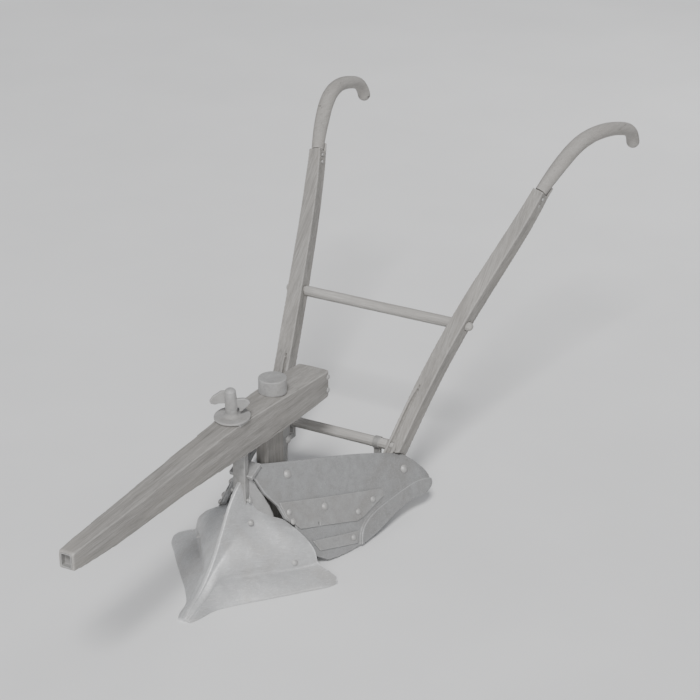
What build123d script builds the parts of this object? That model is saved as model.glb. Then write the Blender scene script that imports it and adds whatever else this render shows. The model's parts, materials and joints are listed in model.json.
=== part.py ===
from build123d import *
import os
from math import cos, radians, sin

# Walking plow with a ridging body: two boards and one symmetric share under a wooden beam.
# Millimetres. +X is the ploughman's left, -Y is the direction of work, +Z is up.
# The origin is on the ground, in the plow's middle plane, under the centre of the main post.

# --- driving dimensions ---------------------------------------------------------------------
BEAM_FRONT = -802.0
BEAM_REAR = 212.0
POST_HALF_WIDTH = 16.0
POST_FRONT = -37.0
POST_REAR = 35.0
POST_FOOT = 12.0
BAR_FRONT = -140.0
BAR_REAR = -122.0
BAR_FOOT = 60.0
SNUG = 0.15  # gap between pieces that are bolted up against each other

ROD_BASE = (0.0, -161.0, 400.0)  # middle of the adjusting rod where it leaves the beam
ROD_LEAN = 5.0  # degrees, top end forward
ROD_RADIUS = 8.0
ROD_RUNNING_GAP = 0.08

BOARD_THICKNESS = 11.0
BOARD_CORNER = (20.0, -93.0, 263.0)  # top front corner of the left board's outer face
BOARD_RUN = (0.3787, 0.8886, -0.2584)
BOARD_NORMAL = (0.878, -0.256, 0.405)
BOARD_FACE = Plane(origin=BOARD_CORNER, x_dir=BOARD_RUN, z_dir=BOARD_NORMAL)
PLATE_THICKNESS = 4.0
LIP_HEIGHT = 7.0

HANDLE_FOOT = 106.0
GRIP_RADIUS = 19.0

UPPER_RUNG_Y = 530.0
UPPER_RUNG_Z = 404.0
LOWER_RUNG_Y = 305.0
LOWER_RUNG_Z = 161.0
RUNG_RADIUS = 13.5

SOLE_HALF_WIDTH = 20.0
SOLE_THICKNESS = 12.0
SOLE_FRONT = -262.0
SOLE_REAR = 215.0

MIDDLE = Plane.YZ

os.makedirs("parts", exist_ok=True)


# --- helpers ----------------------------------------------------------------------------------
def save(piece, name):
    """Label a finished piece and write its STEP file."""
    piece.part.label = name
    export_step(piece.part, f"parts/{name}.step")


def twin(part):
    """A part's mirror image on the other side of the plow."""
    with BuildPart() as image:
        mirror(part, about=MIDDLE)
    return image


def save_pair(left, name):
    """Write the left piece, and its mirror image as the right one."""
    save(left, f"{name}_left")
    save(twin(left.part), f"{name}_right")


def axis_plane(seat, direction):
    """Plane holding an axis: local Y runs along it, local X is a radius."""
    along = Vector(*direction).normalized()
    up = Vector(0, 0, 1) if abs(along.Z) < 0.9 else Vector(1, 0, 0)
    side = (up - along * up.dot(along)).normalized()
    return Plane(origin=seat, x_dir=side, z_dir=side.cross(along))


def dome_radius(half_chord, height):
    """Radius of the arc from a dome's top to its rim."""
    return (half_chord**2 + height**2) / (2 * height)


def dome_bolt(seat, direction, head_radius, head_height, shank_radius, shank_length):
    """A round-headed bolt: head on the seat, shank going in behind it."""
    with BuildSketch(axis_plane(seat, direction)) as half:
        with BuildLine():
            RadiusArc((0, head_height), (head_radius, 0), dome_radius(head_radius, head_height))
            Polyline((head_radius, 0), (shank_radius, 0), (shank_radius, -shank_length),
                     (0, -shank_length), (0, head_height))
        make_face()
    revolve(half.sketch, axis=Axis(seat, direction))


def round_bar(seat, direction, radius, length, mode=Mode.ADD):
    """A cylinder from the seat along a direction."""
    with BuildSketch(Plane(origin=seat, z_dir=direction)) as disc:
        Circle(radius)
    extrude(disc.sketch, amount=length, mode=mode)


def block(x_range, y_range, z_range, mode=Mode.ADD):
    """A rectangular block between two limits on each axis."""
    with BuildSketch(Plane.XY.offset(z_range[0])) as foot:
        with Locations(((x_range[0] + x_range[1]) / 2, (y_range[0] + y_range[1]) / 2)):
            Rectangle(x_range[1] - x_range[0], y_range[1] - y_range[0])
    extrude(foot.sketch, amount=z_range[1] - z_range[0], mode=mode)


def side_slab(outline, half_width, mode=Mode.ADD):
    """A slab across the middle plane with a straight-sided outline of (Y, Z) points."""
    with BuildSketch(MIDDLE) as side:
        with BuildLine():
            Polyline(*outline, close=True)
        make_face()
    extrude(side.sketch, amount=half_width, both=True, mode=mode)


def on_board(run, rise, height=0.0):
    """Point on the left board's outer face, or a height above it."""
    return tuple(BOARD_FACE.from_local_coords(Vector(run, rise, height)))


# --- beam and what is set into it ---------------------------------------------------------------
ROD_AXIS = (0.0, -sin(radians(ROD_LEAN)), cos(radians(ROD_LEAN)))


def along_rod(distance):
    """Point on the adjusting rod's axis, a distance above its base."""
    return tuple(base + distance * step for base, step in zip(ROD_BASE, ROD_AXIS))


CAP_CENTRE_Y = 15.0
CAP_BASE_Z = 393.0
CAP_TOP_Z = 431.0
CAP_RADIUS = 33.0
TIE_RADIUS = 9.0
TIE_FOOT_Z = 215.0
SOCKET_WIDTH = 22.0
SOCKET_HEIGHT = 28.0
SOCKET_WALL = 2.5
SOCKET_DEPTH = 18.0
SOCKET_CENTRE_Z = 371.5
TENON_HALF_WIDTH = 11.0
TENON_HALF_DEPTH = 24.0
TENON_TOP = 350.0
BAR_TOP = 345.0
REAR_BOLT_Y = 199.0
REAR_BOLT_HEIGHTS = (362.0, 328.0)
REAR_BOLT_RADIUS = 4.0
REAR_BOLT_SEAT = 41.7
POST_CENTRE_Y = (POST_FRONT + POST_REAR) / 2


END_BEVEL = 4.0
REAR_CORNER = 13.0

with BuildPart() as beam:
    with BuildSketch(MIDDLE):
        with BuildLine():
            top = Spline((BEAM_FRONT + END_BEVEL, 393), (-602, 396.5), (-341, 402), (-213, 403.5),
                         (-39, 397.5), (70, 389), (BEAM_REAR - END_BEVEL, 377))
            under = Spline((BEAM_REAR - END_BEVEL, 309), (31, 311), (-188, 319), (-389, 331),
                           (-611, 336), (BEAM_FRONT + END_BEVEL, 350))
            Polyline(top @ 1, (BEAM_REAR, 373), (BEAM_REAR, 317), under @ 0)
            Polyline(under @ 1, (BEAM_FRONT, 354), (BEAM_FRONT, 389), top @ 0)
        make_face()
    extrude(amount=60, both=True)
    with BuildSketch(Plane.XY.offset(250)) as beam_plan:
        with BuildLine():
            near = Spline((18.5, BEAM_FRONT), (25, -475), (30.4, -213), (37.8, -39),
                          (41.6, BEAM_REAR))
            mirror(near, about=MIDDLE)
            Line((18.5, BEAM_FRONT), (-18.5, BEAM_FRONT))
            Line((41.6, BEAM_REAR), (-41.6, BEAM_REAR))
        make_face()
        fillet(beam_plan.vertices().group_by(Axis.Y)[0], radius=END_BEVEL)
        fillet(beam_plan.vertices().group_by(Axis.Y)[-1], radius=REAR_CORNER)
    extrude(amount=200, mode=Mode.INTERSECT)
    with BuildSketch(Plane.XZ.offset(-BEAM_FRONT)):
        with Locations((0, SOCKET_CENTRE_Z)):
            RectangleRounded(SOCKET_WIDTH + 2 * SOCKET_WALL, SOCKET_HEIGHT + 2 * SOCKET_WALL, 5)
    extrude(amount=-SOCKET_DEPTH, mode=Mode.SUBTRACT)
    block((-TENON_HALF_WIDTH, TENON_HALF_WIDTH),
          (POST_CENTRE_Y - TENON_HALF_DEPTH, POST_CENTRE_Y + TENON_HALF_DEPTH),
          (290, TENON_TOP), Mode.SUBTRACT)
    block((-POST_HALF_WIDTH, POST_HALF_WIDTH), (BAR_FRONT, BAR_REAR), (290, BAR_TOP), Mode.SUBTRACT)
    round_bar((0, CAP_CENTRE_Y, 300), (0, 0, 1), TIE_RADIUS, 120, Mode.SUBTRACT)
    round_bar(along_rod(-120), ROD_AXIS, ROD_RADIUS, 140, Mode.SUBTRACT)
    for height in REAR_BOLT_HEIGHTS:
        round_bar((-60, REAR_BOLT_Y, height), (1, 0, 0), REAR_BOLT_RADIUS, 120, Mode.SUBTRACT)
save(beam, "beam")

with BuildPart() as draft_socket:
    with BuildSketch(Plane.XZ.offset(-BEAM_FRONT)):
        with Locations((0, SOCKET_CENTRE_Z)):
            RectangleRounded(SOCKET_WIDTH + 2 * SOCKET_WALL, SOCKET_HEIGHT + 2 * SOCKET_WALL, 5)
    extrude(amount=-SOCKET_DEPTH)
    with BuildSketch(Plane.XZ.offset(-BEAM_FRONT)):
        with Locations((0, SOCKET_CENTRE_Z)):
            RectangleRounded(SOCKET_WIDTH, SOCKET_HEIGHT, 3)
    extrude(amount=-SOCKET_DEPTH + 5, mode=Mode.SUBTRACT)
save(draft_socket, "draft_socket")

with BuildPart() as rear_bolts:
    for height in REAR_BOLT_HEIGHTS:
        for side in (1, -1):
            dome_bolt((side * REAR_BOLT_SEAT, REAR_BOLT_Y, height), (side, 0, 0),
                      7.5, 4.5, REAR_BOLT_RADIUS, REAR_BOLT_SEAT)
    add(beam.part, mode=Mode.SUBTRACT)
save(rear_bolts, "beam_rear_bolts")

# --- main post with its cap bolt, and the strap behind it -----------------------------------------
STRAP_HALF_WIDTH = 15.0
STAY_FRONT = 35.0
STAY_REAR = 45.0
STAY_LOW = 84.0
STAY_HIGH = 112.0
STRAP_BOLT_Y = 57.0
STRAP_BOLT_Z = 256.0
STRAP_OUTLINE = ((POST_REAR, 318), (70, 318), (67, 262), (57, 238), (51, 120), (POST_REAR, 120))

with BuildPart() as post_cap_bolt:
    with BuildSketch(Plane.XY.offset(CAP_BASE_Z - 10)):
        with Locations((0, CAP_CENTRE_Y)):
            Circle(CAP_RADIUS)
    extrude(amount=CAP_TOP_Z - CAP_BASE_Z + 10)
    fillet(post_cap_bolt.faces().sort_by(Axis.Z)[-1].edges(), radius=3)
    add(beam.part, mode=Mode.SUBTRACT)
    round_bar((0, CAP_CENTRE_Y, TIE_FOOT_Z), (0, 0, 1), TIE_RADIUS, CAP_BASE_Z - TIE_FOOT_Z)
save(post_cap_bolt, "post_cap_bolt")

with BuildPart() as strap_bolt:
    for side in (1, -1):
        dome_bolt((side * STRAP_HALF_WIDTH, STRAP_BOLT_Y, STRAP_BOLT_Z), (side, 0, 0),
                  11.5, 6, 5, STRAP_HALF_WIDTH)
save(strap_bolt, "post_strap_bolt")

with BuildPart() as post_strap:
    side_slab(STRAP_OUTLINE, STRAP_HALF_WIDTH)
    add(beam.part, mode=Mode.SUBTRACT)
    add(strap_bolt.part, mode=Mode.SUBTRACT)
save(post_strap, "post_strap")

# --- adjusting rod, its seat on the beam, the flanged collar and the wing nut -----------------------
SEAT_TOP = 8.0  # distances along the rod from its base
MOVING_GAP = 0.3
FLANGE_FOOT = SEAT_TOP + MOVING_GAP
FLANGE_THICKNESS = 4.8
FLANGE_RADIUS = 41.0
COLUMN_RADIUS = 13.5
COLUMN_TOP = 32.0
NUT_FOOT = COLUMN_TOP + MOVING_GAP
NUT_TOP = 82.0
ROD_TOP = 72.0
ROD_FOOT = -62.0
BORE_RADIUS = ROD_RADIUS + ROD_RUNNING_GAP
WING_TURN = 32.0  # degrees the wings stand off the X axis at rest
WING_HALF_THICKNESS = 4.0
# wing outlines, distance from the rod's axis and height on it; the two wings are bent unevenly
LOW_WING = ((9.5, 36), (15.2, 33), (16.5, 22), (23, 26), (35, 38), (39.5, 45), (36, 51), (27, 56), (9.5, 55))
HIGH_WING = ((9.5, 42), (16, 41), (29, 41), (38, 38.5), (47, 41), (50, 47), (42, 58), (24, 70), (9.5, 70))
ROD_PLANE = Plane(origin=ROD_BASE, x_dir=(1, 0, 0), z_dir=ROD_AXIS)

with BuildPart() as adjusting_rod:
    round_bar(along_rod(ROD_FOOT), ROD_AXIS, ROD_RADIUS, ROD_TOP - ROD_FOOT)
    chamfer(adjusting_rod.edges().sort_by(Axis.Z)[-1], length=1.5)
save(adjusting_rod, "adjusting_rod")

with BuildPart() as rod_seat:
    round_bar(along_rod(-12), ROD_AXIS, FLANGE_RADIUS - 2, SEAT_TOP + 12)
    with BuildSketch(Plane.XY.offset(380)):
        with BuildLine():
            edge = Line((32.6, -213), (34.6, -120))
            other = Line((-32.6, -213), (-34.6, -120))
            Line(edge @ 0, other @ 0)
            Line(edge @ 1, other @ 1)
        make_face()
    extrude(amount=40, mode=Mode.INTERSECT)
    add(beam.part, mode=Mode.SUBTRACT)
    round_bar(along_rod(-20), ROD_AXIS, ROD_RADIUS, 40, Mode.SUBTRACT)
    block((-60, 60), (-260, -60), (380, 399), Mode.SUBTRACT)
save(rod_seat, "rod_seat")

with BuildPart() as flanged_collar:
    with BuildSketch(axis_plane(ROD_BASE, ROD_AXIS)):
        with BuildLine():
            Polyline((BORE_RADIUS, COLUMN_TOP), (BORE_RADIUS, FLANGE_FOOT),
                     (FLANGE_RADIUS, FLANGE_FOOT),
                     (FLANGE_RADIUS, FLANGE_FOOT + FLANGE_THICKNESS * 0.7),
                     (FLANGE_RADIUS - 3, FLANGE_FOOT + FLANGE_THICKNESS),
                     (COLUMN_RADIUS + 9, FLANGE_FOOT + FLANGE_THICKNESS))
            RadiusArc((COLUMN_RADIUS + 9, FLANGE_FOOT + FLANGE_THICKNESS),
                      (COLUMN_RADIUS, FLANGE_FOOT + FLANGE_THICKNESS + 9), 9)
            Polyline((COLUMN_RADIUS, FLANGE_FOOT + FLANGE_THICKNESS + 9),
                     (COLUMN_RADIUS, COLUMN_TOP), (BORE_RADIUS, COLUMN_TOP))
        make_face()
    revolve(axis=Axis(ROD_BASE, ROD_AXIS))
save(flanged_collar, "flanged_collar")

with BuildPart() as wing_nut:
    with BuildSketch(axis_plane(ROD_BASE, ROD_AXIS)):
        with BuildLine():
            Polyline((BORE_RADIUS, NUT_FOOT), (COLUMN_RADIUS + 1, NUT_FOOT),
                     (COLUMN_RADIUS - 1, NUT_TOP - 7))
            RadiusArc((COLUMN_RADIUS - 1, NUT_TOP - 7), (0, NUT_TOP),
                      -dome_radius(COLUMN_RADIUS - 1, 7))
            Polyline((0, NUT_TOP), (0, NUT_TOP - 7), (BORE_RADIUS, NUT_TOP - 7),
                     (BORE_RADIUS, NUT_FOOT))
        make_face()
    revolve(axis=Axis(ROD_BASE, ROD_AXIS))
    for half_turn, outline in ((0, LOW_WING), (180, HIGH_WING)):
        turned = ROD_PLANE.rotated((0, 0, WING_TURN + half_turn))
        upright = Plane(ROD_BASE, x_dir=turned.x_dir, z_dir=turned.x_dir.cross(turned.z_dir))
        with BuildSketch(upright):
            with BuildLine():
                Polyline(*outline, close=True)
            make_face()
        extrude(amount=WING_HALF_THICKNESS, both=True)
save(wing_nut, "wing_nut")

# --- front bar, and the sole under the body ------------------------------------------------------
BAR_BOLT_Y = -131.0
BAR_BOLTS = ((-1, 203.0), (-1, 187.0), (1, 187.0))  # side and height of each
SHARE_REAR = -72.0

with BuildPart() as bar_bolts:
    for side, height in BAR_BOLTS:
        dome_bolt((side * 23, BAR_BOLT_Y, height), (side, 0, 0), 6.5, 4, 4, 23)
save(bar_bolts, "front_bar_bolts")

with BuildPart() as front_bar:
    block((-POST_HALF_WIDTH, POST_HALF_WIDTH), (BAR_FRONT, BAR_REAR), (BAR_FOOT, BAR_TOP))
    add(bar_bolts.part, mode=Mode.SUBTRACT)
save(front_bar, "front_bar")

with BuildPart() as sole_runner:
    side_slab(((SOLE_FRONT, 5), (SOLE_FRONT + 14, 0), (SOLE_REAR, 0),
               (SOLE_REAR, SOLE_THICKNESS), (SOLE_FRONT + 14, SOLE_THICKNESS)), SOLE_HALF_WIDTH)
save(sole_runner, "sole_runner")

# --- share: faceted half sections across the plow, joined front to back and mirrored --------------
# each station: Y, then (X, Z) of the ridge side, the neck's foot, the crease and the cutting edge
SHARE_STATIONS = (
    (-387, (4, 5), (7, 5), (11, 4), (14, 0)),
    (-366, (4, 20), (7, 17), (15, 12), (25, 0)),
    (-322, (4, 41), (9, 36), (19, 26), (34, 0)),
    (-270, (4, 81), (12, 70), (24, 50), (71, 0)),
    (-222, (4, 141), (22, 101), (48, 46), (113, 0)),
    (-183, (4, 195), (29, 120), (77, 42), (147, 0)),
    (-144, (5, 229), (34, 132), (106, 36), (180, 0)),
    (-104, (8, 250), (44, 142), (138, 33), (213, 0)),
    (SHARE_REAR, (10, 258), (60, 130), (163, 36), (227, 0)),
)
# places along the chord from the neck's foot to the crease, and how far the shoulder stands out of it
SHOULDER = ((0.2, 0.07), (0.4, 0.11), (0.6, 0.135), (0.8, 0.11))


def share_ring(station, wall):
    """Points round a section of the share's outside (wall 0), or of the hollow a wall inside it."""
    y, ridge, neck, crease, edge = station
    run = (crease[0] - neck[0], crease[1] - neck[1])
    shoulder = [(neck[0] + part * run[0] - out * run[1] - wall * 0.7,
                 neck[1] + part * run[1] + out * run[0] - wall * 0.7) for part, out in SHOULDER]
    lip_run = min(6, 0.4 * (edge[0] - crease[0]))
    lip = (edge[0] - lip_run - 2.2 * wall, min(0.8 * crease[1], 6) - wall)
    side = [(ridge[0], ridge[1] - 1.6 * wall), (neck[0] - wall, neck[1] - wall * 0.4), *shoulder,
            (crease[0] - wall * 0.5, crease[1] - wall), lip, (edge[0] - 2.6 * wall, -wall)]
    return [(x, y, z) for x, z in side] + [(-x, y, z) for x, z in reversed(side)]


def share_body(wall, first):
    """Faceted closed body through the stations from first to the rear."""
    rings = [share_ring(station, wall) for station in SHARE_STATIONS[first:]]
    faces = [Face(Wire.make_polygon(ring)) for ring in (rings[0], rings[-1])]
    for front, rear in zip(rings, rings[1:]):
        for here in range(len(front)):
            there = (here + 1) % len(front)
            if here == len(front) - 1 or here == len(front) // 2 - 1:
                faces.append(Face(Wire.make_polygon((front[here], front[there], rear[there], rear[here]))))
            else:
                faces.append(Face(Wire.make_polygon((front[here], front[there], rear[here]))))
                faces.append(Face(Wire.make_polygon((front[there], rear[there], rear[here]))))
    return Solid(Shell(faces))


def neck_trim():
    """What is cut off behind the share's rear edge and outside its rounded wing tips."""
    with BuildPart() as trim:
        with BuildSketch(Plane.XY.offset(-20)):
            with BuildLine():
                Polyline((0, BAR_REAR), (17, BAR_REAR), *NECK_LINE, (72, SHARE_REAR - 0.5),
                         (216, SHARE_REAR - 0.5), (223, -76), (224, -84),
                         (260, -84), (260, 0), (0, 0), close=True)
            make_face()
        extrude(amount=400)
        mirror(about=MIDDLE)
    return trim.part


NECK_LINE = ((19, -121.0), (44, -99.0), (58, -86.0))  # front face of the neck plate, seen from above
SHARE_WALL = 6.0
share_outside = share_body(0, 0)
share_hollow = share_body(SHARE_WALL, 3)
share_trim = neck_trim()
SHARE_BOLT_SEATS = (((127, -114, 47.5), (0.55, -0.25, 0.80)), ((34, -147, 141.5), (0.75, -0.35, 0.56)))

with BuildPart() as share_bolts:
    for (x, y, z), (out_x, out_y, out_z) in SHARE_BOLT_SEATS:
        for side in (1, -1):
            dome_bolt((side * x, y, z), (side * out_x, out_y, out_z), 7.5, 5, 4, 14)
save(share_bolts, "share_bolts")

with BuildPart() as share:
    add(share_outside)
    add(share_hollow, mode=Mode.SUBTRACT)
    add(share_trim, mode=Mode.SUBTRACT)
    block((-POST_HALF_WIDTH - SNUG, POST_HALF_WIDTH + SNUG), (BAR_FRONT - SNUG, -100), (40, 300),
          Mode.SUBTRACT)
    add(share_bolts.part, mode=Mode.SUBTRACT)
    add(bar_bolts.part, mode=Mode.SUBTRACT)
save(share, "share")

# --- neck plate: a folded plate behind the bar, its wings spread along the share's rear edge --------
NECK_THICKNESS = 3.5
NECK_TOP = ((17, 243), (30, 211), (40, 188), (50, 160), (57, 134), (57, 112))

with BuildPart() as neck_plate:
    with BuildSketch(Plane.XY.offset(100)):
        with BuildLine():
            Polyline((0, BAR_REAR), (17, BAR_REAR), *NECK_LINE,
                     (55.5, -83.5), (41.5, -96.5), (17.5, BAR_REAR + NECK_THICKNESS),
                     (0, BAR_REAR + NECK_THICKNESS), close=True)
        make_face()
        mirror(about=MIDDLE)
    extrude(amount=150)
    with BuildSketch(Plane.XZ.offset(60)):
        with BuildLine():
            Polyline((0, 243), *NECK_TOP, (0, 112), close=True)
        make_face()
        mirror(about=MIDDLE)
    extrude(amount=100, mode=Mode.INTERSECT)
    add(share.part, mode=Mode.SUBTRACT)
    add(bar_bolts.part, mode=Mode.SUBTRACT)
    add(share_bolts.part, mode=Mode.SUBTRACT)
save(neck_plate, "neck_plate")

# --- frog inside the share: a web along the middle and a rib across it -----------------------------
RIB_FRONT = -118.0
RIB_REAR = -98.0
FROG_HALF_WIDTH = 13.0

with BuildPart() as frog_room:
    add(share_hollow)
    block((-FROG_HALF_WIDTH, FROG_HALF_WIDTH), (RIB_REAR, POST_FRONT), (SOLE_THICKNESS, 128))

with BuildPart() as frog:
    block((-140, 140), (RIB_FRONT, RIB_REAR), (SOLE_THICKNESS, 128))
    block((-FROG_HALF_WIDTH, FROG_HALF_WIDTH), (-240, POST_FRONT), (SOLE_THICKNESS, 128))
    add(frog_room.part, mode=Mode.INTERSECT)
    add(front_bar.part, mode=Mode.SUBTRACT)
    add(neck_plate.part, mode=Mode.SUBTRACT)
    add(share_bolts.part, mode=Mode.SUBTRACT)
    add(sole_runner.part, mode=Mode.SUBTRACT)
save(frog, "frog")

# --- mouldboards: outline points are (run, rise) on the board's outer face --------------------------
BIG_BOLTS = ((86, -28, 62), (445, -36, 52))  # run, rise and shank length
PLATE_BIG_BOLTS = ((187, -109, 22),)
PLATE_BOLTS = ((80, -115, 20), (90, -137, 20), (288, -128, 20), (336, -102, 20))
STRIP_BOLTS = ((268, -187, 20),)

with BuildPart() as board_bolts:
    for run, rise, shank in BIG_BOLTS:
        dome_bolt(on_board(run, rise), BOARD_NORMAL, 11, 7, 6, shank)
save_pair(board_bolts, "board_bolts")

with BuildPart() as main_post:
    block((-POST_HALF_WIDTH, POST_HALF_WIDTH), (POST_FRONT, POST_REAR), (POST_FOOT, 330))
    block((-TENON_HALF_WIDTH, TENON_HALF_WIDTH),
          (POST_CENTRE_Y - TENON_HALF_DEPTH, POST_CENTRE_Y + TENON_HALF_DEPTH), (300, TENON_TOP))
    add(beam.part, mode=Mode.SUBTRACT)
    add(post_cap_bolt.part, mode=Mode.SUBTRACT)
    add(board_bolts.part, mode=Mode.SUBTRACT)
    add(twin(board_bolts.part).part, mode=Mode.SUBTRACT)
save(main_post, "main_post")

with BuildPart() as plate_bolts:
    for run, rise, shank in PLATE_BIG_BOLTS:
        dome_bolt(on_board(run, rise, PLATE_THICKNESS), BOARD_NORMAL, 10, 6.5, 5, shank)
    for run, rise, shank in PLATE_BOLTS + STRIP_BOLTS:
        dome_bolt(on_board(run, rise, PLATE_THICKNESS), BOARD_NORMAL, 8, 5, 4, shank)
save_pair(plate_bolts, "plate_bolts")


def board_slab(thickness):
    """A slab of the board's outline on its outer face; a negative thickness goes inward."""
    with BuildPart() as outline_slab:
        with BuildSketch(BOARD_FACE):
            with BuildLine():
                Spline((0, 0), (193, 5), (348, 7), (449, 0))
                Spline((449, 0), (503, -29), (533, -73), (521, -90), (490, -104))
                Spline((490, -104), (405, -141), (354, -175), (275, -212), (190, -232))
                Polyline((190, -232), (104, -206), (104, -168), (98, -147), (72, -129),
                         (55, -101), (17, -69), (-6, -38), (-14, -31), (0, 0))
            make_face()
        extrude(amount=thickness)
    return outline_slab.part


with BuildPart() as lip:
    with BuildSketch(BOARD_FACE):
        with BuildLine():
            Spline((531, -62), (483, -66), (410, -95), (346, -126), (300, -165), (290, -205))
            Polyline((290, -205), (290, -240), (560, -240), (560, -62), (531, -62))
        make_face()
    extrude(amount=LIP_HEIGHT)
    add(board_slab(LIP_HEIGHT), mode=Mode.INTERSECT)

with BuildPart() as mouldboard:
    add(board_slab(-BOARD_THICKNESS))
    add(lip.part)
    add(neck_plate.part, mode=Mode.SUBTRACT)
    add(board_bolts.part, mode=Mode.SUBTRACT)
    add(plate_bolts.part, mode=Mode.SUBTRACT)
save_pair(mouldboard, "mouldboard")

with BuildPart() as wear_plate:
    with BuildSketch(BOARD_FACE):
        with BuildLine():
            Polyline((54, -92), (184, -88), (371, -78), (372, -96), (340, -117), (306, -140),
                     (285, -149), (168, -153), (168, -143), (164, -143), (164, -153.5),
                     (112, -156), (98, -146), (72, -127), close=True)
        make_face()
    extrude(amount=PLATE_THICKNESS)
    add(plate_bolts.part, mode=Mode.SUBTRACT)
save_pair(wear_plate, "wear_plate")

with BuildPart() as wear_strip:
    with BuildSketch(BOARD_FACE):
        with BuildLine():
            Polyline((144, -186), (254, -176), (286, -172), (280, -201), (165, -210), close=True)
        make_face()
    extrude(amount=PLATE_THICKNESS)
    add(plate_bolts.part, mode=Mode.SUBTRACT)
save_pair(wear_strip, "wear_strip")

with BuildPart() as board_room:
    with BuildSketch(BOARD_FACE.offset(-BOARD_THICKNESS)):
        Rectangle(1600, 1600)
    extrude(amount=-400)

# --- throat plate over the front ends of the boards, and the stay between them ----------------------
with BuildPart() as throat_plate:
    side_slab(((-134, 250), (-92, 266), (-88, 256), (-130, 240)), 30)
    block((-POST_HALF_WIDTH, POST_HALF_WIDTH), (-141, BAR_REAR), (200, 300), Mode.SUBTRACT)
    add(mouldboard.part, mode=Mode.SUBTRACT)
    add(twin(mouldboard.part).part, mode=Mode.SUBTRACT)
save(throat_plate, "throat_plate")

with BuildPart() as cross_stay:
    block((-150, 150), (STAY_FRONT, STAY_REAR), (STAY_LOW, STAY_HIGH))
    add(board_room.part, mode=Mode.INTERSECT)
    add(twin(board_room.part).part, mode=Mode.INTERSECT)
    add(plate_bolts.part, mode=Mode.SUBTRACT)
    add(twin(plate_bolts.part).part, mode=Mode.SUBTRACT)
save(cross_stay, "cross_stay")

# --- handles, grips and rungs ---------------------------------------------------------------------------
# front inner edge of the left handle, from below its foot to its top
HANDLE_EDGE = ((133, 206, 76), (165, 365, 257), (189, 455, 360), (215, 545, 458),
               (236, 610, 519.5), (281, 735, 646), (297, 772, 691))
HANDLE_SECTIONS = ((0, 40, 45), (0.3, 40, 45), (0.52, 40, 45), (0.74, 38.5, 45), (1, 31, 44))
EAR_THICKNESS = 8.0
EAR_LENGTH = 26.0
GROOVE_SECTIONS = ((0, 6, 15, 12), (0.28, 7, 15, 11), (0.385, 13, 14, 1))  # place, sides, depth
RUNG_TENON_RADIUS = 11.5
UPPER_RUNG_INNER = 203.0
UPPER_RUNG_OUTER = 246.0
KNOB_LENGTH = 13.0
LOWER_RUNG_INNER = 150.0

with BuildLine() as handle_edge:
    Spline(*HANDLE_EDGE)


def handle_plane(where):
    """Plane across the handle: X goes outboard and Y to the rear from its front inner edge."""
    along = handle_edge.line % where
    outboard = (Vector(1, 0, 0) - along * along.X).normalized()
    return Plane(origin=handle_edge.line @ where, x_dir=outboard, z_dir=along)


def across_handle(where, x_range, y_range):
    """A rectangle in the handle's cross plane between two limits each way."""
    with BuildSketch(handle_plane(where)) as section:
        with Locations((sum(x_range) / 2, sum(y_range) / 2)):
            Rectangle(x_range[1] - x_range[0], y_range[1] - y_range[0])
    return section.sketch


def at_handle(where, x, y, z=0.0):
    """A point given across and along the handle."""
    return tuple(handle_plane(where).from_local_coords(Vector(x, y, z)))


with BuildPart() as upper_rung:
    round_bar((-UPPER_RUNG_INNER, UPPER_RUNG_Y, UPPER_RUNG_Z), (1, 0, 0), RUNG_RADIUS,
              2 * UPPER_RUNG_INNER)
    round_bar((-UPPER_RUNG_OUTER - 4, UPPER_RUNG_Y, UPPER_RUNG_Z), (1, 0, 0), RUNG_TENON_RADIUS,
              2 * UPPER_RUNG_OUTER + 8)
    for side in (1, -1):
        dome_bolt((side * (UPPER_RUNG_OUTER + 4), UPPER_RUNG_Y, UPPER_RUNG_Z), (side, 0, 0),
                  RUNG_TENON_RADIUS, KNOB_LENGTH - 4, 6, 2)
save(upper_rung, "upper_rung")

with BuildPart() as lower_rung:
    round_bar((-LOWER_RUNG_INNER, LOWER_RUNG_Y, LOWER_RUNG_Z), (1, 0, 0), RUNG_RADIUS,
              2 * LOWER_RUNG_INNER)
    chamfer(lower_rung.edges().filter_by(GeomType.CIRCLE), length=3, length2=9)
    round_bar((-LOWER_RUNG_INNER - 14, LOWER_RUNG_Y, LOWER_RUNG_Z), (1, 0, 0), 9,
              2 * LOWER_RUNG_INNER + 28)
save(lower_rung, "lower_rung")

TOP_WIDTH = HANDLE_SECTIONS[-1][1]
TOP_DEPTH = HANDLE_SECTIONS[-1][2]
TOP_OUTBOARD = tuple(handle_plane(1).x_dir)
GRIP_ROOT = (TOP_WIDTH / 2, 18.5)  # in the handle's top plane
GRIP_ROOT_RADIUS = 15.4
GRIP_SWELL_RADIUS = 18.0
GRIP_TIP_RADIUS = 17.5
GRIP_TENON_RADIUS = 9.0
GRIP_TENON_LENGTH = 48.0
RIVET_DEPTHS = (14.0, 33.0)
RIVET_RADIUS = 4.0
RIVET_PROUD = 1.5

# centreline of the left grip, over the arch and down to the drooping tip
GRIP_ROUTE = ((331, 838, 722), (354.5, 919, 767), (374.5, 1011, 773), (387, 1108, 752),
              (391.5, 1168, 722), (391, 1185, 694))

with BuildPart() as grip_rivets:
    for depth in RIVET_DEPTHS:
        round_bar(at_handle(1, -RIVET_PROUD - 0.02 * depth, GRIP_ROOT[1], -depth), TOP_OUTBOARD,
                  RIVET_RADIUS, TOP_WIDTH + 2 * RIVET_PROUD + 0.04 * depth)
save_pair(grip_rivets, "grip_rivets")

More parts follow.
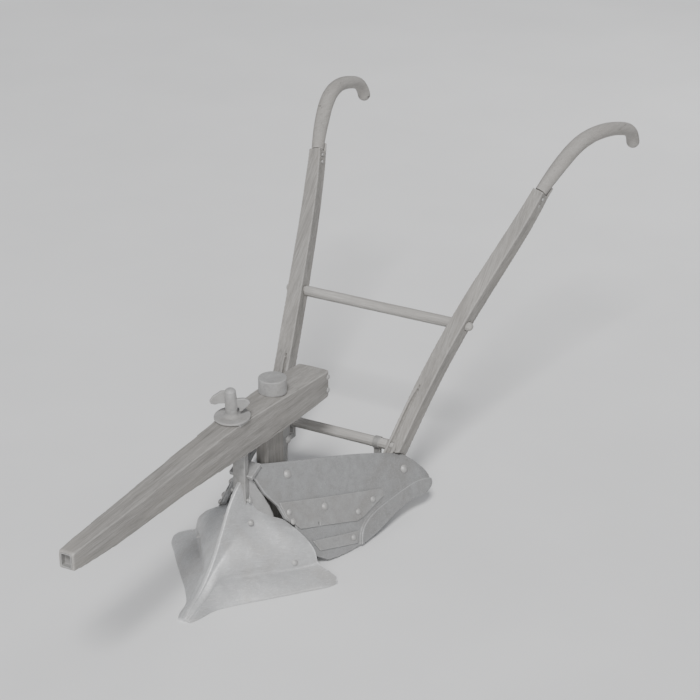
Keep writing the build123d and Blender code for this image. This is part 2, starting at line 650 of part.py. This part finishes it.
with BuildPart() as grip:
    with BuildLine() as grip_line:
        Spline(at_handle(1, *GRIP_ROOT, 0.1), *GRIP_ROUTE)
    for where, radius in ((0, GRIP_ROOT_RADIUS), (0.12, GRIP_SWELL_RADIUS), (0.5, GRIP_RADIUS),
                          (1, GRIP_TIP_RADIUS)):
        with BuildSketch(Plane(origin=grip_line.line @ where, z_dir=grip_line.line % where)):
            Circle(radius)
    sweep(path=grip_line.line, multisection=True)
    with Locations(GRIP_ROUTE[-1]):
        Sphere(GRIP_TIP_RADIUS)
    with BuildSketch(handle_plane(1)) as root_cut:
        Rectangle(200, 200)
    extrude(root_cut.sketch, amount=-60, mode=Mode.SUBTRACT)
    round_bar(at_handle(1, *GRIP_ROOT, 8), tuple(-handle_plane(1).z_dir), GRIP_TENON_RADIUS,
              GRIP_TENON_LENGTH)
    add(grip_rivets.part, mode=Mode.SUBTRACT)
save_pair(grip, "grip")

with BuildPart() as handle:
    loft([across_handle(where, (0, width), (0, depth)) for where, width, depth in HANDLE_SECTIONS])
    extrude(across_handle(1, (0, TOP_WIDTH), (TOP_DEPTH - EAR_THICKNESS, TOP_DEPTH)),
            amount=EAR_LENGTH)
    loft([across_handle(where, (near, far), (-1, depth))
          for where, near, far, depth in GROOVE_SECTIONS], ruled=True, mode=Mode.SUBTRACT)
    block((0, 300), (0, 400), (0, HANDLE_FOOT), Mode.SUBTRACT)
    add(grip.part, mode=Mode.SUBTRACT)
    add(upper_rung.part, mode=Mode.SUBTRACT)
    add(lower_rung.part, mode=Mode.SUBTRACT)
    add(board_slab(-BOARD_THICKNESS), mode=Mode.SUBTRACT)
    add(board_slab(60), mode=Mode.SUBTRACT)
    add(board_bolts.part, mode=Mode.SUBTRACT)
    add(grip_rivets.part, mode=Mode.SUBTRACT)
save_pair(handle, "handle")

BRACKET_X = (111.0, 128.0)
BRACKET_SADDLE = 15.5
BRACKET_ARM_Z = (117.0, 130.0)
BRACKET_ARM_Y = (284.0, 311.0)

with BuildPart() as rung_bracket:
    round_bar((BRACKET_X[0], LOWER_RUNG_Y, LOWER_RUNG_Z), (1, 0, 0), BRACKET_SADDLE,
              BRACKET_X[1] - BRACKET_X[0])
    block(BRACKET_X, (LOWER_RUNG_Y - 6, LOWER_RUNG_Y + 6), (BRACKET_ARM_Z[0], LOWER_RUNG_Z))
    block((BRACKET_X[0], 160), BRACKET_ARM_Y, BRACKET_ARM_Z)
    add(lower_rung.part, mode=Mode.SUBTRACT)
    add(handle.part, mode=Mode.SUBTRACT)
    add(board_bolts.part, mode=Mode.SUBTRACT)
save_pair(rung_bracket, "rung_bracket")
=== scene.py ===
"""Looks of a double-mouldboard walking plow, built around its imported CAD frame."""
import json
import math

import bmesh
import bpy
import numpy as np
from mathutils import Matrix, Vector, noise

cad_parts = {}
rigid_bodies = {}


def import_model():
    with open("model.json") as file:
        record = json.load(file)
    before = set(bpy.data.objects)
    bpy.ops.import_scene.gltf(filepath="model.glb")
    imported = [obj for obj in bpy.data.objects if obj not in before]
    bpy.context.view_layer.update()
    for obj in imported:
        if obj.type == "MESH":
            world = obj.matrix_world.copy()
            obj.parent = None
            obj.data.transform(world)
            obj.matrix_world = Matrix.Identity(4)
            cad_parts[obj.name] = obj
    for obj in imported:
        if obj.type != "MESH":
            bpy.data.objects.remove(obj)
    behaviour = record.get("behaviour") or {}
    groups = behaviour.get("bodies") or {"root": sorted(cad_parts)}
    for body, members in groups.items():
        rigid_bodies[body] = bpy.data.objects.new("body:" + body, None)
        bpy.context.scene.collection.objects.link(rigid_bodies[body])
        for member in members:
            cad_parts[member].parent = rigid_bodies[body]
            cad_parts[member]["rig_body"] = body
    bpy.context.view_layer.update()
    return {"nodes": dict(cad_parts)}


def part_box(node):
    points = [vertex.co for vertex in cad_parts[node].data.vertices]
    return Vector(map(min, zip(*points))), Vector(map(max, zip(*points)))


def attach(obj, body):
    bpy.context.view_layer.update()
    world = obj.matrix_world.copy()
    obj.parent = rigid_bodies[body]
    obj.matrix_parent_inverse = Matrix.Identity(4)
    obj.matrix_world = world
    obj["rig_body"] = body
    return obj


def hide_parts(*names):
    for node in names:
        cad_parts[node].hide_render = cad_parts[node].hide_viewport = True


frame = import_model()
NODES = frame["nodes"]
scene = bpy.context.scene

# --- camera, light and floor ------------------------------------------------------------------------------

AIM = Vector((0.0, 0.385, 0.3456))
DISTANCE = 5.4
AZIMUTH = math.radians(28.5)
ELEVATION = math.radians(25.2)


def aim(obj, place, target):
    """Puts an object at a place, looking at a target."""
    obj.location = place
    obj.rotation_euler = (Vector(target) - Vector(place)).to_track_quat("-Z", "Y").to_euler()


camera_data = bpy.data.cameras.new("camera")
camera_data.lens = 114.7
camera_data.sensor_width = 36.0
camera_data.clip_end = 60.0
camera = bpy.data.objects.new("camera", camera_data)
scene.collection.objects.link(camera)
level = math.cos(ELEVATION)
aim(camera, AIM + DISTANCE * Vector((math.sin(AZIMUTH) * level, -math.cos(AZIMUTH) * level,
                                     math.sin(ELEVATION))), AIM)
scene.camera = camera

KEY_FROM = (1.2, -2.6, 3.4)
KEY_SPREAD = math.radians(15)  # softens the edges of the shadows
KEY_STRENGTH = 3.3

key = bpy.data.lights.new("key", "SUN")
key.angle = KEY_SPREAD
key.energy = KEY_STRENGTH
key_lamp = bpy.data.objects.new("key", key)
scene.collection.objects.link(key_lamp)
aim(key_lamp, KEY_FROM, (0, 0, 0))

# place, target, size, power
LIGHTS = {
    "front": ((2.3, -4.4, 2.5), (0, 0.2, 0.3), 1.4, 105.0),
    "fill": ((-3.6, -1.4, 1.6), (0, 0.4, 0.3), 2.8, 24.0),
    "back": ((0.6, 4.0, 2.6), (0, 0.4, 0.4), 2.2, 46.0),
}
for name, (place, target, size, power) in LIGHTS.items():
    data = bpy.data.lights.new(name, "AREA")
    data.size = size
    data.energy = power
    lamp = bpy.data.objects.new(name, data)
    scene.collection.objects.link(lamp)
    aim(lamp, place, target)

world = bpy.data.worlds.new("studio")
scene.world = world
world.use_nodes = True
world.node_tree.nodes["Background"].inputs["Color"].default_value = (0.90, 0.93, 1.0, 1)
world.node_tree.nodes["Background"].inputs["Strength"].default_value = 0.20


# --- materials --------------------------------------------------------------------------------------------

class Nodes:
    """A small helper for building one material's node tree."""

    def __init__(self, name):
        self.material = bpy.data.materials.new(name)
        self.material.use_nodes = True
        self.tree = self.material.node_tree
        self.shader = self.tree.nodes["Principled BSDF"]

    def add(self, kind, settings=None, **inputs):
        node = self.tree.nodes.new(kind)
        for key, value in (settings or {}).items():
            setattr(node, key, value)
        for key, value in inputs.items():
            self.put(node.inputs[key.replace("_", " ")], value)
        return node

    def put(self, socket, value):
        if isinstance(value, bpy.types.NodeSocket):
            self.tree.links.new(value, socket)
        else:
            socket.default_value = value

    def coordinates(self, scale, turn=(0, 0, 0)):
        place = self.add("ShaderNodeTexCoord").outputs["Object"]
        turned = self.add("ShaderNodeMapping", {"vector_type": "POINT"}, Vector=place,
                          Rotation=turn).outputs[0]
        return self.add("ShaderNodeMapping", None, Vector=turned, Scale=scale).outputs[0]

    def noise(self, where, scale, detail=6.0, rough=0.55, distortion=0.0):
        return self.add("ShaderNodeTexNoise", None, Vector=where, Scale=scale, Detail=detail,
                        Roughness=rough, Distortion=distortion).outputs["Fac"]

    def ramp(self, value, *stops):
        """A value turned into another through (place, level) stops."""
        node = self.add("ShaderNodeValToRGB", None, Fac=value)
        band = node.color_ramp
        while len(band.elements) < len(stops):
            band.elements.new(0.5)
        for element, (place, level) in zip(band.elements, stops):
            element.position = place
            colour = level if isinstance(level, tuple) else (level, level, level)
            element.color = (*colour, 1)
        return node.outputs["Color"]

    def mix(self, factor, low, high):
        node = self.add("ShaderNodeMix", {"data_type": "RGBA", "blend_type": "MIX"})
        self.put(node.inputs[0], factor)
        for socket, value in ((node.inputs[6], low), (node.inputs[7], high)):
            self.put(socket, (*value, 1) if isinstance(value, tuple) else value)
        return node.outputs[2]

    def math(self, operation, first, second):
        node = self.add("ShaderNodeMath", {"operation": operation})
        self.put(node.inputs[0], first)
        self.put(node.inputs[1], second)
        return node.outputs[0]

    def bump(self, height, depth, under=None):
        node = self.add("ShaderNodeBump", None, Height=height, Distance=depth, Strength=1.0)
        if under is not None:
            self.put(node.inputs["Normal"], under)
        return node.outputs["Normal"]

    def edges(self, low, high):
        """One along the outer edges, none elsewhere: worn edges, with a painted highlight laid on them too.
        """
        point = self.add("ShaderNodeNewGeometry").outputs["Pointiness"]
        return self.ramp(point, (low, 0.0), (high, 1.0))

    def hollows(self, low, high):
        """One in the inner corners, none elsewhere: painted shade."""
        point = self.add("ShaderNodeNewGeometry").outputs["Pointiness"]
        return self.ramp(point, (low, 1.0), (high, 0.0))


def wood(name, turn, seed, light=(0.40, 0.386, 0.366), dark=(0.14, 0.133, 0.124)):
    """Weathered silver-grey ash. The grain runs along Y of the turned coordinates."""
    m = Nodes(name)
    shift = m.add("ShaderNodeVectorMath", {"operation": "ADD"})
    m.put(shift.inputs[0], m.coordinates((1, 1, 1), turn))
    m.put(shift.inputs[1], (seed * 0.37, seed * 0.61, seed * 0.23))
    base = shift.outputs[0]

    def along(across, length):
        return m.add("ShaderNodeMapping", None, Vector=base, Scale=(across, length, across)).outputs[0]

    figure = m.noise(along(26, 1.6), 1.0, 5.0, 0.55, 1.2)
    fibre = m.noise(along(260, 6.5), 1.0, 7.0, 0.7, 0.4)
    fine = m.noise(along(900, 26), 1.0, 4.0, 0.7)
    blotch = m.noise(along(9, 4), 1.0, 4.0, 0.6)
    check = m.ramp(m.noise(along(120, 1.5), 1.0, 3.0, 0.5, 0.6), (0.27, 0.0), (0.335, 1.0))
    where = m.ramp(m.noise(along(11, 1.9), 1.0, 2.0, 0.5), (0.42, 0.0), (0.62, 1.0))
    crack = m.mix(where, (1, 1, 1), check)
    tone = m.mix(m.ramp(figure, (0.34, 0.0), (0.66, 1.0)), dark, light)
    tone = m.mix(0.62, tone, m.mix(m.ramp(fibre, (0.32, 0.0), (0.70, 1.0)), dark, light))
    tone = m.mix(m.math("MULTIPLY", m.ramp(fine, (0.35, 1.0), (0.6, 0.0)), 0.5), tone,
                 (0.15, 0.143, 0.135))
    tone = m.mix(m.ramp(blotch, (0.40, 0.0), (0.72, 0.5)), tone, (0.32, 0.302, 0.278))
    # outer edges lighter: edge wear plus painted highlight
    tone = m.mix(m.math("MULTIPLY", m.edges(0.51, 0.57), 0.5), tone, (0.50, 0.487, 0.465))
    # inner corners darker: painted shade
    tone = m.mix(m.math("MULTIPLY", m.hollows(0.43, 0.49), 0.5), tone, (0.115, 0.108, 0.10))
    tone = m.mix(crack, (0.095, 0.088, 0.082), tone)
    m.put(m.shader.inputs["Base Color"], tone)
    m.put(m.shader.inputs["Roughness"], m.ramp(fibre, (0.3, 0.88), (0.7, 0.68)))
    m.shader.inputs["Specular IOR Level"].default_value = 0.28
    relief = m.bump(figure, 0.0016)
    relief = m.bump(fibre, 0.0011, relief)
    relief = m.bump(crack, 0.0012, relief)
    m.put(m.shader.inputs["Normal"], relief)
    return m.material


def iron(name, light, dark, metallic, rough, pit=0.0005, hammer=0.0009, scale=1.0, seed=0.0,
         scratches=0.0, flow=(0.25, 0.0, 0.5)):
    """Aged iron: mottled scale, fine pits, hammer marks, rubbed bright along its edges where a painted
    highlight also sits, and painted shade in its inner corners.
    """
    m = Nodes(name)
    base = m.add("ShaderNodeVectorMath", {"operation": "ADD"})
    m.put(base.inputs[0], m.coordinates((1, 1, 1)))
    m.put(base.inputs[1], (seed, seed * 1.7, seed * 0.6))
    where = base.outputs[0]
    mottle = m.noise(where, 48 * scale, 9.0, 0.68, 0.3)
    cloud = m.noise(where, 9.0 * scale, 4.0, 0.6, 0.8)
    pits = m.noise(where, 520 * scale, 5.0, 0.65)
    dents = m.noise(where, 44 * scale, 2.0, 0.4)
    speck = m.ramp(m.noise(where, 260 * scale, 4.0, 0.7), (0.58, 0.0), (0.68, 1.0))
    middle = tuple(0.5 * (a + b) for a, b in zip(light, dark))
    tone = m.mix(m.ramp(mottle, (0.34, 0.0), (0.66, 1.0)), dark, light)
    tone = m.mix(0.25, tone, middle)
    stain = tuple(value * warm for value, warm in zip(dark, (0.86, 0.80, 0.74)))
    tone = m.mix(m.math("MULTIPLY", m.ramp(cloud, (0.46, 0.0), (0.66, 1.0)), 0.35), tone, stain)
    tone = m.mix(m.math("MULTIPLY", speck, 0.40), tone, tuple(0.55 * value for value in dark))
    # outer edges lighter: edge wear plus painted highlight
    tone = m.mix(m.math("MULTIPLY", m.edges(0.515, 0.57), 0.65), tone,
                 tuple(min(0.9, 1.45 * value) for value in light))
    # inner corners darker: painted shade
    tone = m.mix(m.math("MULTIPLY", m.hollows(0.40, 0.475), 0.35), tone,
                 tuple(0.55 * value for value in dark))
    relief = m.bump(dents, hammer)
    relief = m.bump(pits, pit, relief)
    if scratches:
        lines = m.noise(m.coordinates((70, 3.0, 70), flow), 6.0, 5.0, 0.75)
        tone = m.mix(m.math("MULTIPLY", m.ramp(lines, (0.52, 0.0), (0.66, 1.0)), scratches), tone,
                     tuple(min(0.9, 1.5 * value) for value in light))
        relief = m.bump(lines, 0.0003, relief)
    m.put(m.shader.inputs["Base Color"], tone)
    m.put(m.shader.inputs["Roughness"], m.ramp(mottle, (0.36, rough + 0.12), (0.68, rough - 0.06)))
    m.put(m.shader.inputs["Metallic"], m.ramp(mottle, (0.35, metallic * 0.6), (0.7, metallic)))
    m.put(m.shader.inputs["Normal"], relief)
    return m.material


LEAN = math.atan2(0.681, 0.732)  # of the handles, from level
BEAM_WOOD = wood("weathered_ash_beam", (0, 0, 0), 1.0)
POST_WOOD = wood("weathered_ash_post", (math.radians(90), 0, 0), 3.0)
HANDLE_WOOD = wood("weathered_ash_handle", (-LEAN, 0, 0), 5.0)
GRIP_WOOD = wood("weathered_ash_grip", (0, 0, 0), 8.0, (0.41, 0.395, 0.375), (0.255, 0.243, 0.228))
RUNG_WOOD = wood("weathered_ash_rung", (0, 0, math.radians(90)), 11.0, (0.50, 0.487, 0.465),
                 (0.27, 0.258, 0.242))
SHARE_STEEL = iron("scoured_share_steel", (0.52, 0.525, 0.53), (0.40, 0.40, 0.398), 0.45, 0.42,
                   scratches=0.35, seed=0.3)
BOARD_STEEL = iron("aged_board_steel", (0.335, 0.338, 0.341), (0.225, 0.224, 0.221), 0.35, 0.52,
                   scratches=0.28, seed=1.1, flow=(0.25, 0.0, -0.4))
PLATE_STEEL = iron("aged_plate_steel", (0.365, 0.365, 0.363), (0.245, 0.242, 0.238), 0.35, 0.52,
                   scratches=0.22, seed=2.3, flow=(0.25, 0.0, -0.4))
WROUGHT_IRON = iron("wrought_iron_grey", (0.34, 0.337, 0.33), (0.22, 0.216, 0.21), 0.30, 0.58,
                    seed=3.7)
CAST_IRON = iron("cast_iron_grey", (0.40, 0.398, 0.392), (0.26, 0.257, 0.252), 0.25, 0.62,
                 pit=0.0008, hammer=0.0005, seed=5.2)
BOLT_IRON = iron("bolt_iron_rubbed", (0.44, 0.436, 0.428), (0.28, 0.276, 0.268), 0.35, 0.50,
                 pit=0.0004, hammer=0.0006, scale=1.6, seed=7.4)


# --- pieces -----------------------------------------------------------------------------------------------


def taken_over(mesh, node, name, material):
    """Shows a new mesh in a CAD node's place."""
    for polygon in mesh.polygons:
        polygon.use_smooth = True
    mesh.materials.clear()
    mesh.materials.append(material)
    piece = bpy.data.objects.new(name, mesh)
    scene.collection.objects.link(piece)
    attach(piece, NODES[node]["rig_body"])
    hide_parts(node)
    return piece


def softened(node, material, voxel, passes=3, keep=1.0, rough=0.0, grain=9.0, shape=None):
    """A finely meshed copy of a CAD node with worn round edges and a hand-worked surface.

    rough is how deep the uneven surface goes, in metres, and grain how many hollows to a metre.
    """
    work = bpy.data.objects.new(node + "_work", NODES[node].data.copy())
    scene.collection.objects.link(work)
    grid = work.modifiers.new("grid", "REMESH")
    grid.mode = "VOXEL"
    grid.voxel_size = voxel
    soft = work.modifiers.new("soft", "SMOOTH")
    soft.factor = 0.5
    soft.iterations = passes
    depsgraph = bpy.context.evaluated_depsgraph_get()
    mesh = bpy.data.meshes.new_from_object(work.evaluated_get(depsgraph))
    count = len(mesh.vertices)
    places = np.empty(count * 3)
    normals = np.empty(count * 3)
    mesh.vertices.foreach_get("co", places)
    mesh.vertex_normals.foreach_get("vector", normals)
    places = places.reshape(-1, 3)
    normals = normals.reshape(-1, 3)
    if rough:
        depth = np.array([noise.noise(Vector(p) * grain) + 0.5 * noise.noise(Vector(p) * grain * 3.1)
                          for p in places])
        places -= normals * (rough * np.clip(0.5 + 0.6 * depth, 0, 1.3))[:, None]
    if shape:
        places = shape(places, normals)
    mesh.vertices.foreach_set("co", places.reshape(-1))
    mesh.update()
    bpy.data.objects.remove(work)
    piece = taken_over(mesh, node, node + "_piece", material)
    if keep < 1:
        thin = piece.modifiers.new("thin", "DECIMATE")
        thin.ratio = keep
    return piece


BEAM_CROWN = 0.0022


def crowned_beam(places, normals):
    """The beam's top is slightly crowned across."""
    low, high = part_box("beam")
    half = 0.5 * (high.x - low.x)
    upward = np.clip(normals[:, 2], 0, 1) ** 2
    places[:, 2] -= BEAM_CROWN * upward * (places[:, 0] / half) ** 2
    return places


# the left board's outer face: its front top corner, then along it, up it and out of it
BOARD_CORNER = np.array((0.020, -0.093, 0.263))
BOARD_OUT = np.array((0.878, -0.256, 0.405))
BOARD_RUN = np.array((0.3787, 0.8886, -0.2584))
BOARD_RISE = np.cross(BOARD_OUT, BOARD_RUN)
BOARD_TOP = np.array([(-20, -4), (0, 0), (97, 4), (193, 5), (348, 7), (449, 0), (480, -14), (503, -29),
                      (525, -52), (540, -75)]) / 1000
LIP_CREST = np.array([(290, -240), (290, -205), (300, -165), (346, -126), (410, -95), (483, -66),
                      (531, -62)]) / 1000


ROLL_WIDTH = 0.016  # of the board's rolled top edge
ROLL_DROP = 0.0065
ROLL_REACH = -0.009  # the roll moves only what lies nearer the outer face than this
LIP_WIDTH = 0.034
LIP_START = 0.0012  # how far off the outer face the lip begins
LIP_FALL = 0.78  # share of the lip's height lost at its outer edge


def beyond(points, line):
    """Shortest distance from points to a polyline, in its plane."""
    best = np.full(len(points), 1.0)
    for start, end in zip(line, line[1:]):
        along = end - start
        part = np.clip((points - start) @ along / (along @ along), 0, 1)
        best = np.minimum(best, np.hypot(*(points - start - part[:, None] * along).T))
    return best


def rolled_board(places, normals):
    """The board's top edge rolls back, and its lip falls away from the crest to the outer edge."""
    side = np.sign(places[:, :1].mean())
    local = places * (side, 1, 1) - BOARD_CORNER
    flat = np.stack((local @ BOARD_RUN, local @ BOARD_RISE), axis=1)
    height = local @ BOARD_OUT
    roll = np.clip(1 - beyond(flat, BOARD_TOP) / ROLL_WIDTH, 0, 1) ** 2
    lip = (height > LIP_START) * np.clip(beyond(flat, LIP_CREST) / LIP_WIDTH, 0, 1)
    drop = ROLL_DROP * roll * (height > ROLL_REACH) + LIP_FALL * np.clip(height, 0, 1) * lip
    return places - drop[:, None] * BOARD_OUT * (side, 1, 1)


OUTER_BOLT_X = 0.08  # the outer share bolts lie beyond this
OUTER_BOLT_GROWTH = 0.0018


def proud(places, normals):
    """The two outer share bolts stand clear of the share's bulging surface."""
    return places + OUTER_BOLT_GROWTH * normals * (np.abs(places[:, :1]) > OUTER_BOLT_X)


softened("beam", BEAM_WOOD, 0.0024, 5, 0.5, 0.0009, 11.0, crowned_beam)
softened("main_post", POST_WOOD, 0.0020, 4, 0.5, 0.0006, 14.0)
for side in ("left", "right"):
    softened("handle_" + side, HANDLE_WOOD, 0.0022, 4, 0.5, 0.0008, 12.0)
    softened("grip_" + side, GRIP_WOOD, 0.0018, 4, 0.5, 0.0006, 16.0)
    softened("mouldboard_" + side, BOARD_STEEL, 0.0018, 2, 0.6, 0.0003, 22.0, rolled_board)
    softened("wear_plate_" + side, PLATE_STEEL, 0.0012, 1, 0.6, 0.0002, 25.0)
    softened("wear_strip_" + side, PLATE_STEEL, 0.0012, 1, 0.6, 0.0002, 25.0)
    softened("board_bolts_" + side, BOLT_IRON, 0.0010, 2)
    softened("plate_bolts_" + side, BOLT_IRON, 0.0009, 2)
    softened("grip_rivets_" + side, BOLT_IRON, 0.0008, 2)
    softened("rung_bracket_" + side, WROUGHT_IRON, 0.0012, 2)
softened("upper_rung", RUNG_WOOD, 0.0014, 3, 1.0, 0.0005, 18.0)
softened("lower_rung", RUNG_WOOD, 0.0014, 3, 1.0, 0.0005, 18.0)
softened("front_bar", WROUGHT_IRON, 0.0016, 3, 1.0, 0.0005, 20.0)
softened("sole_runner", WROUGHT_IRON, 0.0018, 3, 1.0, 0.0005, 20.0)
softened("frog", CAST_IRON, 0.0020, 3, 0.7, 0.0004, 20.0)
softened("cross_stay", WROUGHT_IRON, 0.0016, 3, 1.0, 0.0004, 20.0)
softened("neck_plate", PLATE_STEEL, 0.0010, 2)
softened("throat_plate", PLATE_STEEL, 0.0012, 2)
softened("post_strap", WROUGHT_IRON, 0.0014, 3, 1.0, 0.0004, 20.0)
softened("post_strap_bolt", BOLT_IRON, 0.0009, 2)
softened("post_cap_bolt", CAST_IRON, 0.0010, 3, 1.0, 0.0003, 30.0)
softened("rod_seat", CAST_IRON, 0.0010, 3)
softened("adjusting_rod", BOLT_IRON, 0.0009, 2)
softened("flanged_collar", CAST_IRON, 0.0009, 3)
softened("wing_nut", CAST_IRON, 0.0009, 4)
softened("beam_rear_bolts", BOLT_IRON, 0.0009, 2)
softened("front_bar_bolts", BOLT_IRON, 0.0008, 2)
softened("share_bolts", BOLT_IRON, 0.0008, 2, shape=proud)
softened("draft_socket", WROUGHT_IRON, 0.0010, 3)

# Share: stations front to back, each Y, then (X, Z) of the ridge, the neck's foot, the crease and the edge,
# in millimetres; the surface runs through them and stops at its rear edge.
STATIONS = np.array([
    (-386, 4, 8, 7, 6, 11, 5, 16, 0.5),
    (-366, 4, 20, 7, 17, 15, 12, 25, 0.5),
    (-322, 4, 41, 9, 36, 19, 26, 36, 0.5),
    (-270, 4, 81, 12, 70, 24, 50, 71, 0.5),
    (-222, 4, 141, 22, 101, 48, 46, 113, 0.5),
    (-183, 4, 195, 29, 120, 77, 42, 147, 0.5),
    (-144, 5, 229, 34, 132, 106, 36, 180, 0.5),
    (-104, 8, 250, 44, 142, 138, 33, 213, 0.5),
    (-72, 10, 258, 60, 130, 163, 36, 226.5, 0.5),
], float)
# rear edge seen from above: X of the surface and Y where it stops
REAR_EDGE = np.array([(0, -122), (17, -122), (44, -99.5), (58, -86.5), (72, -72.5), (204, -72.5), (212, -74),
                      (218, -78), (222.5, -85), (225.5, -94), (227, -104)], float)
SHARE_WALL = 0.005
SHARE_RIM = 0.0012
SHARE_RIM_ANGLE = math.radians(50)


def through(known, values, wanted):
    """Smooth interpolation of values through known places, without overshoot."""
    step = np.diff(known)
    rise = np.diff(values, axis=0) / step[:, None]
    slope = np.zeros_like(values)
    same = rise[:-1] * rise[1:] > 0
    first, second = 2 * step[1:] + step[:-1], step[1:] + 2 * step[:-1]
    with np.errstate(divide="ignore", invalid="ignore"):
        blend = (first + second)[:, None] / (first[:, None] / rise[:-1] + second[:, None] / rise[1:])
    slope[1:-1] = np.where(same, blend, 0)
    slope[0], slope[-1] = rise[0], rise[-1]
    spot = np.clip(np.searchsorted(known, wanted) - 1, 0, len(known) - 2)
    part = ((wanted - known[spot]) / step[spot])[:, None]
    width = step[spot][:, None]
    return (values[spot] * (1 + 2 * part) * (1 - part) ** 2 + slope[spot] * width * part * (1 - part) ** 2
            + values[spot + 1] * part ** 2 * (3 - 2 * part)
            + slope[spot + 1] * width * part ** 2 * (part - 1))


def share_profile(y, count):
    """Points across the left half of the share at one Y, from the ridge to the cutting edge."""
    ridge_x, ridge_z, neck_x, neck_z, crease_x, crease_z, edge_x, edge_z = through(
        STATIONS[:, 0], STATIONS[:, 1:], np.array([y]))[0]
    run = np.array((crease_x - neck_x, crease_z - neck_z))
    out = np.array((-run[1], run[0]))
    size = min(1.0, (crease_x - neck_x) / 40)
    neck, crease, edge = (np.array(p) for p in ((neck_x, neck_z), (crease_x, crease_z), (edge_x, edge_z)))
    down = np.array((neck_x - ridge_x, neck_z - ridge_z))
    points = [(0, ridge_z + 1.2 * size), (ridge_x * 0.7, ridge_z + 0.5 * size),
              (ridge_x, ridge_z - 2.2 * size),
              (ridge_x + 0.12 * down[0], ridge_z + 0.18 * down[1]),
              (ridge_x + 0.34 * down[0], ridge_z + 0.55 * down[1]),
              (ridge_x + 0.68 * down[0], ridge_z + 0.88 * down[1]),
              neck + 0.02 * run,
              neck + 0.17 * run + 0.055 * out, neck + 0.37 * run + 0.112 * out,
              neck + 0.60 * run + 0.146 * out, neck + 0.82 * run + 0.122 * out,
              neck + 0.95 * run + 0.045 * out,
              crease + 0.03 * (edge - crease) + (0, -0.3 * size)]
    lip = edge + (-min(6, 0.35 * (edge_x - crease_x)), min(0.7 * crease_z, 6))
    points += [crease + 0.25 * (lip - crease) + (0, 0.4 * size),
               crease + 0.6 * (lip - crease) + (0, 1.2 * size),
               lip + (0, 0.6 * size), 0.5 * (lip + edge) + (1.2 * size, 1.0 * size), edge]
    points = np.array([tuple(p) for p in points], float)
    gaps = np.sqrt((np.diff(points, axis=0) ** 2).sum(1)) ** 0.5
    known = np.concatenate(([0], np.cumsum(gaps)))
    known /= known[-1]
    slope = np.gradient(points, known, axis=0)
    wanted = np.linspace(0, 1, count)
    spot = np.clip(np.searchsorted(known, wanted) - 1, 0, len(known) - 2)
    width = (known[spot + 1] - known[spot])[:, None]
    part = ((wanted - known[spot])[:, None]) / width
    return (points[spot] * (1 + 2 * part) * (1 - part) ** 2 + slope[spot] * width * part * (1 - part) ** 2
            + points[spot + 1] * part ** 2 * (3 - 2 * part)
            + slope[spot + 1] * width * part ** 2 * (part - 1))


def share_mesh():
    """The share as one smooth shell, its rear edge cut to line and its tips rounded."""
    across, along = 110, 90
    levels = np.linspace(STATIONS[0, 0], STATIONS[-1, 0], 140)
    table = np.array([share_profile(y, across) for y in levels])
    mesh = bmesh.new()
    left, right = [], []
    for j in range(across):
        line = table[:, j]
        stop = levels[-1]
        for y, (x, z) in zip(levels, line):
            if y >= np.interp(x, REAR_EDGE[:, 0], REAR_EDGE[:, 1]):
                stop = y
                break
        places = levels[0] + (stop - levels[0]) * (np.linspace(0, 1, along) ** 0.9)
        xs, zs = np.interp(places, levels, line[:, 0]), np.interp(places, levels, line[:, 1])
        left.append([mesh.verts.new((x / 1000, y / 1000, z / 1000)) for x, y, z in zip(xs, places, zs)])
        right.append(left[-1] if j == 0 else
                     [mesh.verts.new((-x / 1000, y / 1000, z / 1000)) for x, y, z in zip(xs, places, zs)])
    for j in range(across - 1):
        for i in range(along - 1):
            mesh.faces.new((left[j][i], left[j + 1][i], left[j + 1][i + 1], left[j][i + 1]))
            mesh.faces.new((right[j][i], right[j][i + 1], right[j + 1][i + 1], right[j + 1][i]))
    mesh.faces.new([column[0] for column in left] + [column[0] for column in reversed(right[1:])])
    bmesh.ops.recalc_face_normals(mesh, faces=mesh.faces)
    if sum(face.normal.z for face in mesh.faces) < 0:
        bmesh.ops.reverse_faces(mesh, faces=mesh.faces)
    data = bpy.data.meshes.new("share_piece")
    mesh.to_mesh(data)
    mesh.free()
    return data


def walled(shell):
    """The shell given its thickness and rounded rims, and kept on or above the ground."""
    work = bpy.data.objects.new("share_work", shell)
    scene.collection.objects.link(work)
    wall = work.modifiers.new("wall", "SOLIDIFY")
    wall.thickness = SHARE_WALL
    wall.offset = -1
    rim = work.modifiers.new("rim", "BEVEL")
    rim.width = SHARE_RIM
    rim.segments = 2
    rim.limit_method = "ANGLE"
    rim.angle_limit = SHARE_RIM_ANGLE
    depsgraph = bpy.context.evaluated_depsgraph_get()
    mesh = bpy.data.meshes.new_from_object(work.evaluated_get(depsgraph))
    bpy.data.objects.remove(work)
    for vertex in mesh.vertices:
        vertex.co.z = max(vertex.co.z, 0.0)
    return mesh


taken_over(walled(share_mesh()), "share", "share_piece", SHARE_STEEL)

# --- floor ------------------------------------------------------------------------------------------------

floor_mesh = bpy.data.meshes.new("floor")
REACH = 14.0
floor_mesh.from_pydata([(-REACH, -REACH, 0), (REACH, -REACH, 0), (REACH, REACH, 0), (-REACH, REACH, 0)],
                       [], [(0, 1, 2, 3)])
floor = bpy.data.objects.new("floor", floor_mesh)
scene.collection.objects.link(floor)
pale = Nodes("pale_floor")
pale.put(pale.shader.inputs["Base Color"],
         pale.ramp(pale.noise(pale.coordinates((1, 1, 1)), 2.0, 3.0), (0.3, 0.70), (0.7, 0.74)))
pale.shader.inputs["Roughness"].default_value = 0.8
floor_mesh.materials.append(pale.material)
